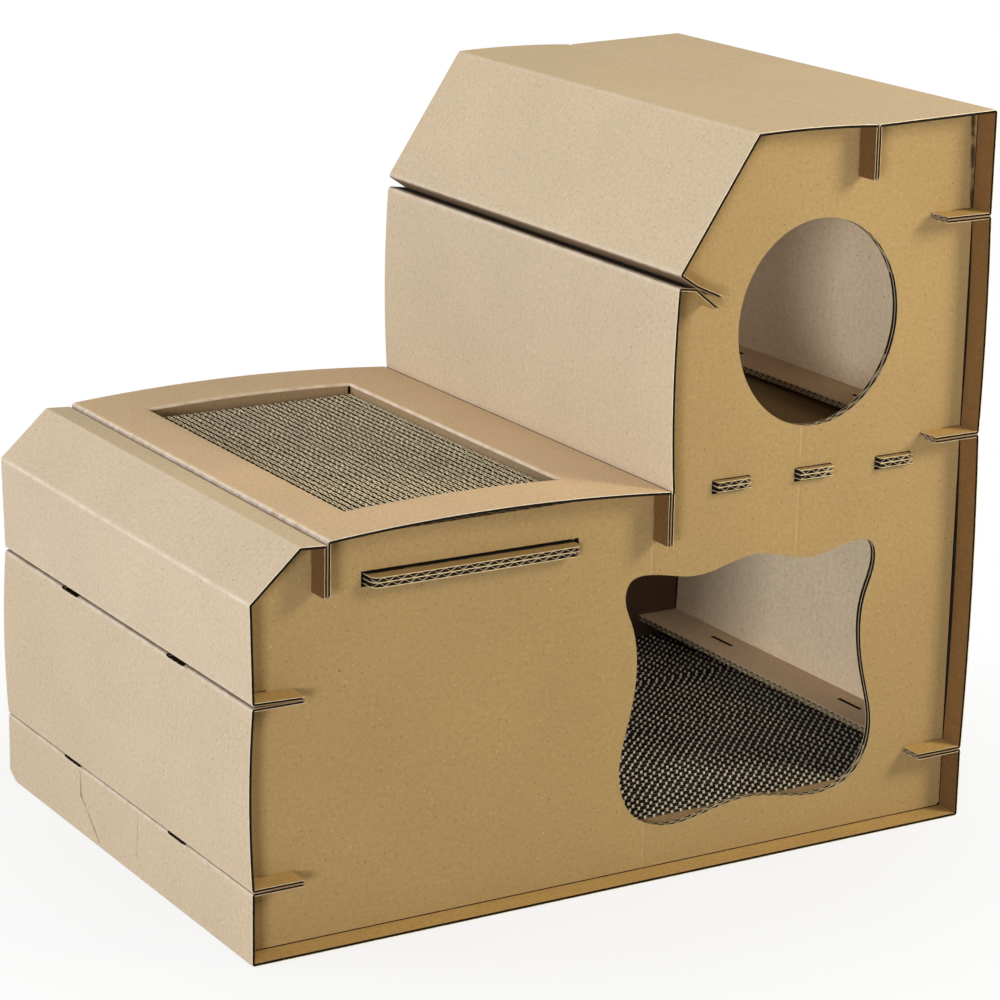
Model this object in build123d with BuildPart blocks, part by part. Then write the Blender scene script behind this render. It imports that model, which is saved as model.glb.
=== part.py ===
"""Cardboard cat house: a low cabin with a crowned deck and a two-storey tower.

Nine folded single-wall skins wrap two double-wall side panels. Where two skins meet, their end flanges lie
back to back and cross the side panels in halved slots. A shelf and a floor hang in the panels by tabs, and
two scratch pads of corrugated plies on edge lie on the shelf and on the base.

X runs from the low front to the tower's back, Y across the house, Z up. The origin is at the middle of the base.
"""
import os
from math import hypot

from build123d import *

# Overall size, in millimetres
length = 600.0
width = 410.0
tower_height = 541.0

# Boards
board = 2.3
double_board = 6.6
shelf_board = 7.4
fold_radius = 1.6

# Profile of the low cabin
deck_height = 291.0
base_front_height = 53.5
front_wall_height = 72.0
front_wall_lean = 2.0
front_slope_height = 34.5
front_slope_depth = 35.6
front_ledge_depth = 20.8
front_joint_gap = 1.4
ledge_fall = 1.2
deck_front_rise = 1.4

# Profile of the tower
roof_slope_depth = 62.5
roof_slope_height = 94.5
roof_edge_drop = 2.0
roof_top_depth = 103.0
roof_joint_drop = 3.0
rear_top_depth = 105.5
rear_top_fall = 77.5
back_upper_height = 163.5
base_back_height = 54.0

# Gentle outward bow of the walls between their folds
wall_crown = 2.5
back_upper_crown = 1.5
roof_top_crown = 1.5
deck_crown = 6.0

# End flanges and the halved joints with the side panels
flange_depth = 40.0
panel_overhang = 19.0
panel_gap = 0.8
lap_clearance = 0.4
slot_clearance = 0.5
panel_corner_cut = 2.5

# Sprung joint between riser and roof: the two flanges part, are pinched in the slot, and part again
roof_joint_gap = 8.0
pinch_depth = 15.0
pinch_drop = 2.0
roof_flange_reach = 36.0
roof_flange_drop = 11.5
riser_flange_reach = 34.0
riser_flange_drop = 17.5

# Thumb notches in the front folds and slits in the back ledges
slit_offset = 88.0
slit_length = 29.0
slit_width = 3.6
slit_setback = 18.0
thumb_notch_depth = 1.4

# Round window of the tower
window_width = 140.0
window_height = 152.0
window_setback = 136.5
window_lowering = 21.5

# Wavy door of the cabin
door_width = 224.0
door_height = 196.0
door_setback = 184.0
door_sill = 32.2
door_outline_shares = [
    (0.000, 0.046),
    (0.160, 0.020),
    (0.310, 0.004),
    (0.440, 0.062),
    (0.500, 0.230),
    (0.468, 0.425),
    (0.440, 0.600),
    (0.452, 0.770),
    (0.485, 0.900),
    (0.470, 0.970),
    (0.395, 0.990),
    (0.230, 0.954),
    (0.120, 0.974),
    (0.000, 1.000),
    (-0.120, 0.974),
    (-0.230, 0.954),
    (-0.400, 0.985),
    (-0.478, 0.968),
    (-0.495, 0.905),
    (-0.470, 0.815),
    (-0.444, 0.650),
    (-0.462, 0.470),
    (-0.500, 0.230),
    (-0.445, 0.068),
    (-0.310, 0.000),
    (-0.160, 0.018),
]

# Deck window, its flaps and the deck pad
deck_window_front_margin = 39.6
deck_window_back_margin = 61.0
deck_window_side_margin = 50.5
flap_depth = 24.0
flap_relief = 1.5
deck_pad_sink = 3.0

# Shelf under the deck
shelf_drop = 39.7
shelf_slot_sink = 1.2
shelf_slot_height = 11.1
shelf_slot_front_margin = 35.6
shelf_slot_back_margin = 64.0
shelf_tab_play = 3.5
shelf_tab_reach = 11.0
shelf_tab_radius = 6.0
board_clearance = 0.5

# Floor of the tower
floor_drop = 10.5
floor_slot_sink = 2.4
floor_slot_height = 10.5
floor_slot_length = 32.8
floor_slot_pitch = 71.8
floor_slot_setback = 64.3
floor_tab_play = 1.75
floor_tab_reach = 5.5

# Scratch pads: corrugated plies on edge, with open grooves between them
ply_pitch = 5.68
ply_groove_width = 1.3
ply_groove_depth = 2.0
floor_pad_thickness = 35.0
pad_clearance = 0.8

# Cuts run this far past the faces that they open
overrun = 5.0

# Places along X, measured from the front face
ledge_start = front_slope_depth
deck_start = front_slope_depth + front_ledge_depth
roof_joint = length - rear_top_depth
roof_edge = roof_joint - roof_top_depth
riser_place = roof_edge - roof_slope_depth

# Heights of the folds and joints
front_fold_height = deck_height - front_slope_height
front_joint_height = front_fold_height - front_wall_height
roof_joint_height = tower_height - roof_joint_drop
roof_edge_height = tower_height - roof_edge_drop
roof_foot = roof_edge_height - roof_slope_height
riser_top = roof_foot - roof_joint_gap
pinch_height = riser_top - pinch_drop
back_top_height = tower_height - rear_top_fall
back_joint_height = back_top_height - back_upper_height

# Places across the house
panel_middle = width / 2 - panel_overhang - double_board / 2
panel_inside = panel_middle - double_board / 2

# Views: the side view looks along +Y, with its own X measured from the front face
side_view = Plane(origin=(-length / 2, 0, 0), x_dir=(1, 0, 0), z_dir=(0, -1, 0))
panel_views = [side_view.offset(panel_middle), side_view.offset(-panel_middle)]


def plan_view(height):
    """Plane seen from above at a height, with its X measured from the front face."""
    return Plane(origin=(-length / 2, 0, height))


def left_normal(start, end):
    """Unit normal on the left of the way from start to end."""
    run = hypot(end[0] - start[0], end[1] - start[1])
    return ((start[1] - end[1]) / run, (end[0] - start[0]) / run)


def inset_corners(corners, distance, closed=False):
    """Corners moved to the left of their path by a distance, mitred where the path turns."""
    moved = []
    last = len(corners) - 1
    for place, corner in enumerate(corners):
        normals = []
        if place > 0 or closed:
            normals.append(left_normal(corners[place - 1], corner))
        if place < last or closed:
            normals.append(left_normal(corner, corners[(place + 1) % len(corners)]))
        first, second = normals[0], normals[-1]
        spread = 1 + first[0] * second[0] + first[1] * second[1]
        moved.append(tuple(corner[axis] + distance * (first[axis] + second[axis]) / spread for axis in (0, 1)))
    return moved


def bowed_run(corners, crowns, side):
    """Runs between corners, each straight or bowed to one side by its crown."""
    for start, end, crown in zip(corners, corners[1:], crowns):
        if crown:
            normal = left_normal(start, end)
            middle = tuple((start[axis] + end[axis]) / 2 + side * crown * normal[axis] for axis in (0, 1))
            ThreePointArc(start, middle, end)
        else:
            Line(start, end)


def sheet_section(corners, crowns):
    """Section of a folded sheet, from its outer corners, with the board on their left and the folds rounded."""
    inner = inset_corners(corners, board)
    folds = [Vector(*corner) for corner in corners[1:-1]]
    with BuildSketch(side_view) as section:
        with BuildLine():
            bowed_run(corners, crowns, -1)
            Line(corners[-1], inner[-1])
            bowed_run(inner[::-1], crowns[::-1], 1)
            Line(inner[0], corners[0])
        make_face()
        outer = [v for v in section.vertices() if min((v.center() - fold).length for fold in folds) < board / 2]
        fillet(outer, radius=fold_radius)
    return section.sketch


def joint_places(joint, start, end, half_thickness):
    """Middle and size of a rectangle along a joint's flanges, from start to end inward of its skins."""
    (x, z), (along_x, along_z) = joint
    middle = (x + along_x * (start + end) / 2, z + along_z * (start + end) / 2)
    size_x = abs(along_x) * (end - start) + abs(along_z) * 2 * half_thickness
    size_z = abs(along_z) * (end - start) + abs(along_x) * 2 * half_thickness
    return middle, size_x, size_z


def lap_notches(*joints, half_thickness=board):
    """Notches from the free edges of the flanges at both side panels."""
    with BuildSketch(*panel_views) as notches:
        for joint in joints:
            start = flange_depth / 2 - lap_clearance / 2
            middle, size_x, size_z = joint_places(joint, start, flange_depth + overrun, half_thickness + overrun)
            with Locations(middle):
                Rectangle(size_x, size_z)
    return notches.sketch


def thumb_notch(height):
    """Two shallow slots along the fold under a front joint."""
    with BuildSketch(Plane(origin=(-length / 2, 0, height), x_dir=(0, 1, 0), z_dir=(1, 0, 0))) as notch:
        with Locations((-slit_offset, 0), (slit_offset, 0)):
            SlotOverall(slit_length, 2 * thumb_notch_depth)
    return notch.sketch


def ledge_slits(height):
    """Two slits along the ledge of a back joint."""
    with BuildSketch(plan_view(height)) as slits:
        with Locations((length - slit_setback, -slit_offset), (length - slit_setback, slit_offset)):
            SlotOverall(slit_length, slit_width, rotation=90)
    return slits.sketch


# Joints: the corner where two skins meet, and the way that their flanges go inward
into_house = (1, 0)
out_of_back = (-1, 0)
downward = (0, -1)
front_low_joint = ((0, base_front_height), into_house)
front_high_joint = ((0, front_joint_height), into_house)
front_sprung_joint = ((0, front_joint_height + front_joint_gap), into_house)
deck_front_joint = ((deck_start, deck_height + deck_front_rise), downward)
deck_back_joint = ((riser_place, deck_height), downward)
roof_top_joint = ((roof_joint, roof_joint_height), downward)
back_high_joint = ((length, back_top_height), out_of_back)
back_middle_joint = ((length, back_joint_height), out_of_back)
back_low_joint = ((length, base_back_height), out_of_back)
straight_joints = [
    front_low_joint,
    front_high_joint,
    front_sprung_joint,
    deck_front_joint,
    deck_back_joint,
    roof_top_joint,
    back_high_joint,
    back_middle_joint,
    back_low_joint,
]


def flange_end(joint):
    """Free edge of a joint's flanges, on the face where they meet."""
    (x, z), (along_x, along_z) = joint
    return (x + along_x * flange_depth, z + along_z * flange_depth)


# Sprung joint of riser and roof, on the faces that meet
pinch_point = (riser_place + pinch_depth, pinch_height)
roof_flange_end = (riser_place + roof_flange_reach, riser_top - roof_flange_drop)
riser_flange_end = (riser_place + riser_flange_reach, riser_top - riser_flange_drop)
sprung_joint = ((riser_place, pinch_height), into_house)

# Outer corners of each skin, in order, with the house's inside on their left
base_corners = [
    flange_end(front_low_joint),
    front_low_joint[0],
    (0, 0),
    (length, 0),
    back_low_joint[0],
    flange_end(back_low_joint),
]
front_corners = [
    flange_end(front_high_joint),
    front_high_joint[0],
    front_low_joint[0],
    flange_end(front_low_joint),
]
front_slope_corners = [
    flange_end(deck_front_joint),
    (deck_start, deck_height - ledge_fall),
    (ledge_start, deck_height),
    (-front_wall_lean, front_fold_height),
    front_sprung_joint[0],
    flange_end(front_high_joint),
]
deck_corners = [
    flange_end(deck_back_joint),
    deck_back_joint[0],
    deck_front_joint[0],
    flange_end(deck_front_joint),
]
riser_corners = [
    riser_flange_end,
    pinch_point,
    (riser_place, riser_top),
    deck_back_joint[0],
    flange_end(deck_back_joint),
]
roof_corners = [
    flange_end(roof_top_joint),
    roof_top_joint[0],
    (roof_edge, roof_edge_height),
    (riser_place, roof_foot),
    pinch_point,
    roof_flange_end,
]
rear_top_corners = [
    flange_end(back_high_joint),
    back_high_joint[0],
    (length, tower_height),
    roof_top_joint[0],
    flange_end(roof_top_joint),
]
back_upper_corners = [
    flange_end(back_middle_joint),
    back_middle_joint[0],
    back_high_joint[0],
    flange_end(back_high_joint),
]
back_lower_corners = [
    flange_end(back_low_joint),
    back_low_joint[0],
    back_middle_joint[0],
    flange_end(back_middle_joint),
]


# Base tray: the bottom with a low wall at each end
with BuildPart() as base_tray:
    extrude(sheet_section(base_corners, [0, 0, 0, 0, 0]), amount=width / 2, both=True)
    notches = lap_notches(front_low_joint, back_low_joint)
    extrude(notches, amount=double_board / 2 + lap_clearance, both=True, mode=Mode.SUBTRACT)
    extrude(thumb_notch(base_front_height), amount=flange_depth / 2, mode=Mode.SUBTRACT)
    extrude(ledge_slits(base_back_height), amount=board + overrun, both=True, mode=Mode.SUBTRACT)

# Front panel between the base's wall and the front slope
with BuildPart() as front_panel:
    extrude(sheet_section(front_corners, [0, wall_crown, 0]), amount=width / 2, both=True)
    notches = lap_notches(front_low_joint, front_high_joint)
    extrude(notches, amount=double_board / 2 + lap_clearance, both=True, mode=Mode.SUBTRACT)
    extrude(thumb_notch(front_joint_height), amount=flange_depth / 2, mode=Mode.SUBTRACT)

# Front slope: a short wall, the slope and a ledge beside the deck
with BuildPart() as front_slope:
    extrude(sheet_section(front_slope_corners, [0, 0, 0, 0, 0]), amount=width / 2, both=True)
    notches = lap_notches(front_high_joint, deck_front_joint)
    extrude(notches, amount=double_board / 2 + lap_clearance, both=True, mode=Mode.SUBTRACT)


def deck_flap(view, start, end):
    """Section of a flap that hangs from the crowned deck, between two places along X."""
    lowered = [(x, z - board / 2) for x, z in (deck_corners[1], deck_corners[2])]
    flap_end = deck_height - flap_depth
    with BuildSketch(view) as section:
        with BuildLine():
            bowed_run(lowered, [deck_crown], -1)
            Polyline(lowered[1], (lowered[1][0], flap_end), (lowered[0][0], flap_end), lowered[0])
        make_face()
        with Locations(((start + end) / 2, deck_height)):
            Rectangle(end - start, 2 * (flap_depth + deck_crown), mode=Mode.INTERSECT)
    return section.sketch


deck_window_start = deck_start + deck_window_front_margin
deck_window_end = riser_place - deck_window_back_margin
deck_window_length = deck_window_end - deck_window_start
deck_window_middle = (deck_window_start + deck_window_end) / 2
deck_window_side = width / 2 - deck_window_side_margin

# Crowned deck, with a window whose four flaps are folded down round the pad
with BuildPart() as deck_panel:
    extrude(sheet_section(deck_corners, [0, deck_crown, 0]), amount=width / 2, both=True)
    notches = lap_notches(deck_front_joint, deck_back_joint)
    extrude(notches, amount=double_board / 2 + lap_clearance, both=True, mode=Mode.SUBTRACT)
    with BuildSketch(plan_view(deck_height)):
        with Locations((deck_window_middle, 0)):
            Rectangle(deck_window_length, 2 * deck_window_side)
    extrude(amount=deck_crown + overrun, both=True, mode=Mode.SUBTRACT)
    for start in (deck_window_start - board, deck_window_end):
        flap = deck_flap(side_view, start, start + board)
        extrude(flap, amount=deck_window_side - flap_relief, both=True)
    for place in (deck_window_side, -deck_window_side - board):
        flap = deck_flap(side_view.offset(place), deck_window_start + flap_relief, deck_window_end - flap_relief)
        extrude(flap, amount=board)

# Riser of the tower, with its tail behind the deck
with BuildPart() as riser:
    extrude(sheet_section(riser_corners, [0, 0, wall_crown, 0]), amount=width / 2, both=True)
    notches = lap_notches(deck_back_joint)
    extrude(notches, amount=double_board / 2 + lap_clearance, both=True, mode=Mode.SUBTRACT)
    notches = lap_notches(sprung_joint, half_thickness=riser_flange_drop)
    extrude(notches, amount=double_board / 2 + lap_clearance, both=True, mode=Mode.SUBTRACT)

# Roof: the front slope of the tower and the front part of its top
with BuildPart() as roof:
    extrude(sheet_section(roof_corners, [0, roof_top_crown, 0, 0, 0]), amount=width / 2, both=True)
    notches = lap_notches(roof_top_joint)
    extrude(notches, amount=double_board / 2 + lap_clearance, both=True, mode=Mode.SUBTRACT)
    notches = lap_notches(sprung_joint, half_thickness=riser_flange_drop)
    extrude(notches, amount=double_board / 2 + lap_clearance, both=True, mode=Mode.SUBTRACT)

# Rear top: the back part of the tower's top, folded down the back
with BuildPart() as rear_top:
    extrude(sheet_section(rear_top_corners, [0, 0, 0, 0]), amount=width / 2, both=True)
    notches = lap_notches(roof_top_joint, back_high_joint)
    extrude(notches, amount=double_board / 2 + lap_clearance, both=True, mode=Mode.SUBTRACT)

# Upper panel of the back
with BuildPart() as back_upper:
    extrude(sheet_section(back_upper_corners, [0, back_upper_crown, 0]), amount=width / 2, both=True)
    notches = lap_notches(back_high_joint, back_middle_joint)
    extrude(notches, amount=double_board / 2 + lap_clearance, both=True, mode=Mode.SUBTRACT)
    extrude(ledge_slits(back_joint_height), amount=board + overrun, both=True, mode=Mode.SUBTRACT)

# Lower panel of the back
with BuildPart() as back_lower:
    extrude(sheet_section(back_lower_corners, [0, wall_crown, 0]), amount=width / 2, both=True)
    notches = lap_notches(back_middle_joint, back_low_joint)
    extrude(notches, amount=double_board / 2 + lap_clearance, both=True, mode=Mode.SUBTRACT)
    extrude(ledge_slits(back_joint_height), amount=board + overrun, both=True, mode=Mode.SUBTRACT)
    extrude(ledge_slits(base_back_height), amount=board + overrun, both=True, mode=Mode.SUBTRACT)

# Outer corners of the whole house, in order, with its inside on their left
house_corners = [
    (0, 0),
    (length, 0),
    (length, tower_height),
    (roof_joint, roof_joint_height),
    (roof_edge, roof_edge_height),
    (riser_place, roof_foot),
    (riser_place, deck_height),
    (ledge_start, deck_height - ledge_fall),
    (0, front_fold_height),
]

# Places of the shelf and floor slots
shelf_slot_start = deck_start + shelf_slot_front_margin
shelf_slot_end = riser_place - shelf_slot_back_margin
shelf_slot_length = shelf_slot_end - shelf_slot_start
shelf_middle = (shelf_slot_start + shelf_slot_end) / 2
shelf_bottom = deck_height - shelf_drop
floor_bottom = deck_height - floor_drop
floor_slot_last = length - floor_slot_setback
floor_slots = [floor_slot_last - step * floor_slot_pitch for step in (2, 1, 0)]


def height_at(start, end, x):
    """Height at a place x on the line through two points."""
    return start[1] + (end[1] - start[1]) * (x - start[0]) / (end[0] - start[0])


def roof_slot():
    """Outline of the slot that pinches the sprung flanges of riser and roof."""
    reach = riser_place + flange_depth / 2 + lap_clearance / 2
    upper = inset_corners(roof_corners[-3:], board + slot_clearance)
    lower = inset_corners(riser_corners[:3], board + slot_clearance)
    mouth = riser_place - overrun
    return [
        (mouth, upper[0][1]),
        upper[0],
        upper[1],
        (reach, height_at(upper[1], upper[2], reach)),
        (reach, height_at(lower[1], lower[0], reach)),
        lower[1],
        lower[2],
        (mouth, lower[2][1]),
    ]


def panel_blank(view):
    """Face of a side panel: the outline inside the skins, with the slots that both panels have."""
    outline = inset_corners(house_corners, board + panel_gap, closed=True)
    with BuildSketch(view) as blank:
        with BuildLine():
            Polyline(*outline, close=True)
        make_face()
        chamfer(blank.vertices().group_by(Axis.Y)[0], length=panel_corner_cut)
        for joint in straight_joints:
            end = flange_depth / 2 + lap_clearance / 2
            middle, size_x, size_z = joint_places(joint, -overrun, end, board + slot_clearance)
            with Locations(middle):
                Rectangle(size_x, size_z, mode=Mode.SUBTRACT)
        with BuildLine():
            Polyline(*roof_slot(), close=True)
        make_face(mode=Mode.SUBTRACT)
        with Locations((shelf_middle, shelf_bottom - shelf_slot_sink + shelf_slot_height / 2)):
            Rectangle(shelf_slot_length, shelf_slot_height, mode=Mode.SUBTRACT)
        floor_slot_middle = floor_bottom - floor_slot_sink + floor_slot_height / 2
        with Locations(*[(place, floor_slot_middle) for place in floor_slots]):
            Rectangle(floor_slot_length, floor_slot_height, mode=Mode.SUBTRACT)
    return blank.sketch


window_centre_height = (deck_height + tower_height) / 2 - window_lowering

# Near side panel, with the round window of the tower and the wavy door of the cabin
with BuildPart() as near_side_panel:
    extrude(panel_blank(panel_views[0]), amount=double_board / 2, both=True)
    with BuildSketch(panel_views[0]):
        with Locations((length - window_setback, window_centre_height)):
            Ellipse(window_width / 2, window_height / 2)
        with BuildLine():
            door_middle = length - door_setback
            Spline(
                [(door_middle + x * door_width, door_sill + z * door_height) for x, z in door_outline_shares],
                periodic=True,
            )
        make_face()
    extrude(amount=double_board, both=True, mode=Mode.SUBTRACT)

# Far side panel, plain but for its slots
with BuildPart() as far_side_panel:
    extrude(panel_blank(panel_views[1]), amount=double_board / 2, both=True)

panel_outside = panel_inside + double_board
board_side = panel_inside - board_clearance

# Shelf under the deck, with one long tab through each side panel
shelf_start = deck_start + board + board_clearance
shelf_end = riser_place - board - board_clearance
with BuildPart() as deck_shelf:
    with BuildSketch(plan_view(shelf_bottom)) as outline:
        with Locations((shelf_middle, 0)):
            Rectangle(shelf_slot_length - 2 * shelf_tab_play, 2 * (panel_outside + shelf_tab_reach))
        fillet(outline.vertices(), radius=shelf_tab_radius)
        with Locations(((shelf_start + shelf_end) / 2, 0)):
            Rectangle(shelf_end - shelf_start, 2 * board_side)
    extrude(amount=shelf_board)

# Floor of the tower, with three tabs through each side panel
floor_start = riser_place + board + board_clearance
floor_end = length - board - board_clearance
with BuildPart() as tower_floor:
    with BuildSketch(plan_view(floor_bottom)):
        with Locations(((floor_start + floor_end) / 2, 0)):
            Rectangle(floor_end - floor_start, 2 * board_side)
        with Locations(*[(place, 0) for place in floor_slots]):
            Rectangle(floor_slot_length - 2 * floor_tab_play, 2 * (panel_outside + floor_tab_reach))
    extrude(amount=shelf_board)

# Deck pad on the shelf, with its plies across the house
shelf_top = shelf_bottom + shelf_board
deck_pad_top = deck_height - deck_pad_sink
deck_pad_length = deck_window_length - 2 * pad_clearance
deck_pad_width = 2 * (deck_window_side - pad_clearance)
with BuildPart() as deck_pad:
    with BuildSketch(plan_view(shelf_top)):
        with Locations((deck_window_middle, 0)):
            Rectangle(deck_pad_length, deck_pad_width)
    extrude(amount=deck_pad_top - shelf_top)
    with BuildSketch(plan_view(deck_pad_top)):
        with Locations((deck_window_middle, 0)):
            with GridLocations(ply_pitch, 0, int(deck_pad_length / ply_pitch), 1):
                Rectangle(ply_groove_width, deck_pad_width)
    extrude(amount=-ply_groove_depth, mode=Mode.SUBTRACT)

# Floor pad on the base, with its plies along the house
floor_pad_length = length - 2 * (board + pad_clearance)
floor_pad_width = 2 * (panel_inside - pad_clearance)
with BuildPart() as floor_pad:
    with BuildSketch(plan_view(board)):
        with Locations((length / 2, 0)):
            Rectangle(floor_pad_length, floor_pad_width)
    extrude(amount=floor_pad_thickness)
    with BuildSketch(plan_view(board + floor_pad_thickness)):
        with Locations((length / 2, 0)):
            with GridLocations(0, ply_pitch, 1, int(floor_pad_width / ply_pitch)):
                Rectangle(floor_pad_length, ply_groove_width)
    extrude(amount=-ply_groove_depth, mode=Mode.SUBTRACT)

pieces = {
    "base_tray": base_tray,
    "front_panel": front_panel,
    "front_slope": front_slope,
    "deck_panel": deck_panel,
    "riser": riser,
    "roof": roof,
    "rear_top": rear_top,
    "back_upper": back_upper,
    "back_lower": back_lower,
    "near_side_panel": near_side_panel,
    "far_side_panel": far_side_panel,
    "deck_shelf": deck_shelf,
    "tower_floor": tower_floor,
    "deck_pad": deck_pad,
    "floor_pad": floor_pad,
}
os.makedirs("parts", exist_ok=True)
for name, piece in pieces.items():
    piece.part.label = name
    export_step(piece.part, f"parts/{name}.step")
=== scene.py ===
"""Looks of the cardboard cat house: corrugated boards with real cut edges, fluted pads, kraft paper."""
import math

import bpy
import numpy as np
from mathutils import Matrix, Vector, geometry


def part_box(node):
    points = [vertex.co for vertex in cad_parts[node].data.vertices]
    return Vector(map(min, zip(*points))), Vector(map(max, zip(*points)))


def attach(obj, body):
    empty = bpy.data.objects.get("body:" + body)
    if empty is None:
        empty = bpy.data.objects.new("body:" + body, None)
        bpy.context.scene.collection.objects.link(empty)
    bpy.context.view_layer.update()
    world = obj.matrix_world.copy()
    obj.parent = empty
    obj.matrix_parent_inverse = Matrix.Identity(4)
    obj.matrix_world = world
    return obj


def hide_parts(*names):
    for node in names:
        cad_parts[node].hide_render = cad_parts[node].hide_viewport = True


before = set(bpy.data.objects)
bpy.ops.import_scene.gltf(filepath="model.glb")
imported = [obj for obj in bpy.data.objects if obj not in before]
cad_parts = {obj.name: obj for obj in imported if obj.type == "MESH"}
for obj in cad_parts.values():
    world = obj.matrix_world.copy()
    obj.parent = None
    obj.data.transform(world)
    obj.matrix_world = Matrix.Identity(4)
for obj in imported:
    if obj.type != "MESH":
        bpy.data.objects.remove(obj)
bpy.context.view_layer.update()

# Sizes in millimetres, with x from the front face; they repeat the CAD source
LENGTH, WIDTH, TOWER = 600.0, 410.0, 541.0
HALF_WIDTH = WIDTH / 2
BOARD, DOUBLE, SHELF = 2.3, 6.6, 7.4
DECK, FLANGE = 291.0, 40.0
BASE_FRONT, FRONT_JOINT, FRONT_FOLD, FRONT_LEAN = 53.5, 184.5, 256.5, 2.0
FRONT_GAP, LEDGE_FALL, DECK_RISE = 1.4, 1.2, 1.4
LEDGE_START, DECK_START, RISER = 35.6, 56.4, 329.0
ROOF_EDGE, ROOF_EDGE_DIP, ROOF_JOINT, ROOF_JOINT_DIP = 391.5, 2.0, 494.5, 3.0
ROOF_FOOT, RISER_TOP = 444.5, 436.5
BASE_BACK, BACK_JOINT, BACK_TOP = 54.0, 300.0, 463.5
WALL_CROWN, BACK_CROWN, ROOF_CROWN, DECK_CROWN = 2.5, 1.5, 1.5, 6.0
PANEL_MIDDLE = 182.7
PANEL_OUT, PANEL_IN = PANEL_MIDDLE + DOUBLE / 2, PANEL_MIDDLE - DOUBLE / 2
NOTCH_HALF, NOTCH_DEPTH, RISER_NOTCH, ROOF_NOTCH = 3.7, 20.2, 18.3, 17.8
SLIT_OFFSET, SLIT_HALF, SLIT_THIN, SLIT_PLACE = 88.0, 14.5, 1.8, 22.0
THUMB_REACH, THUMB_DEPTH, THUMB_ROUND = 20.0, 1.2, 1.1
WINDOW_FRONT, WINDOW_BACK, WINDOW_SIDE = 96.0, 268.0, 154.5
FLAP_DEPTH, FLAP_RELIEF, ROLL = 24.0, 1.5, 1.7
SHELF_BOTTOM, FLOOR_BOTTOM = 251.3, 280.5

# Corrugation: distance between flutes, thickness of the papers, and how far the core lies back at a cut
FLUTE, TWIN_FLUTE = 7.8, 9.6
RIM, BACK_RIM, MIDDLE_RIM = 0.5, 0.35, 0.6
RECESS, MIDDLE_RECESS, FLUTE_RECESS = 1.5, 0.1, 0.2
FLUTE_HALF, TWIN_HALF = 0.17, 0.18
LAYER_PHASE = 1.9

# Folds: radii of the outer line, how wide the rubbed paper and its painted highlight are, and the steps of
# the mesh
FOLD_RADIUS, VALLEY_RADIUS = BOARD + 0.1, 0.4
RUB_LIT, RUB_LIT_SHARE = 1.8, 0.3
ROW_STEP, ARC_STEPS, COLUMNS = 14.0, 6, 31
NOTCH_STEPS = (-0.97, -0.9, -0.75, -0.4, 0, 0.4, 0.75, 0.9, 0.97)

# Material numbers that every board shares; the cavity number is near-black painted shade, and the groove,
# upright, flap and ledge numbers take darker copies of liners as painted shade
OUTER, INNER, EDGE, PAINTED_SHADE, MEDIUM, GROOVE_SHADE, LEVEL, UPRIGHT_SHADE, BRIGHT, FLAP_SHADE, LEDGE_SHADE = range(11)

FRONT_FACE = np.array([LENGTH / 2, 0, 0])


def metres(points):
    """Points in millimetres from the front face to the part's frame in metres."""
    return (np.asarray(points, float) - FRONT_FACE) * 0.001


def millimetres(points):
    """Points of the part's frame in metres to millimetres from the front face."""
    return np.array(points) * 1000 + FRONT_FACE


def bow(u):
    """Height of a bowed sheet at a share of its length, 1 in the middle."""
    return 4 * u * (1 - u)


# Mesh building

class Build:
    """Vertices, faces, material numbers and flat coordinates of one piece."""

    def __init__(self):
        self.verts, self.flat, self.worn, self.faces, self.mats = [], [], [], [], []

    def add(self, points, flat, worn=0.0):
        start = len(self.verts)
        self.verts.extend(map(tuple, points))
        self.flat.extend(map(tuple, flat))
        self.worn.extend(np.broadcast_to(worn, len(points)))
        return np.arange(start, start + len(points))

    def row(self, place, q, depth, worn=0.0):
        """Vertices at flat places and a depth into the board."""
        depth = np.broadcast_to(depth, len(q))
        return self.add(place(q, depth), np.column_stack([q, depth]), worn)

    def face(self, corners, mat):
        self.faces.append(tuple(int(c) for c in corners))
        self.mats.append(mat)

    def strip(self, a, b, mat, closed=True, flip=False):
        """Quads between two rows of vertices."""
        if flip:
            a, b = a[::-1], b[::-1]
        n = len(a)
        for i in range(n if closed else n - 1):
            j = (i + 1) % n
            self.face((a[i], a[j], b[j], b[i]), mat)

    def piece(self, name, node_name, materials, slot, angle=35):
        """The object, riding on the root in place of a CAD node, with edges sharp above an angle."""
        mesh = bpy.data.meshes.new(name)
        mesh.from_pydata([tuple(p) for p in metres(self.verts)], [], self.faces)
        mesh.polygons.foreach_set("material_index", np.array(self.mats, np.int32))
        mesh.polygons.foreach_set("use_smooth", np.ones(len(self.faces), bool))
        flat = mesh.attributes.new("flat", "FLOAT_VECTOR", "POINT")
        flat.data.foreach_set("vector", (np.array(self.flat, np.float32) * 0.001).ravel())
        worn = mesh.attributes.new("worn", "FLOAT", "POINT")
        worn.data.foreach_set("value", np.array(self.worn, np.float32))
        for m in materials:
            mesh.materials.append(m)
        mesh.validate()
        mesh.update()
        mesh.set_sharp_from_angle(angle=math.radians(angle))
        obj = bpy.data.objects.new(name, mesh)
        bpy.context.scene.collection.objects.link(obj)
        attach(obj, "root")
        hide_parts(node_name)
        return obj


def loop_inward(loop):
    """Mitred inward offsets of a loop that has its region on the left."""
    p = np.asarray(loop, float)
    e = np.roll(p, -1, 0) - p
    e /= np.linalg.norm(e, axis=1, keepdims=True)
    n1 = np.stack([-e[:, 1], e[:, 0]], 1)
    n0 = np.roll(n1, 1, 0)
    return (n0 + n1) / np.maximum(1 + (n0 * n1).sum(1, keepdims=True), 0.35)


def chains(nxt):
    """Closed loops in a table of next vertices."""
    while nxt:
        start = next(iter(nxt))
        loop = [start]
        while True:
            k = nxt.pop(loop[-1])
            if k == start:
                break
            loop.append(k)
        yield loop


# Cut edges

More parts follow.
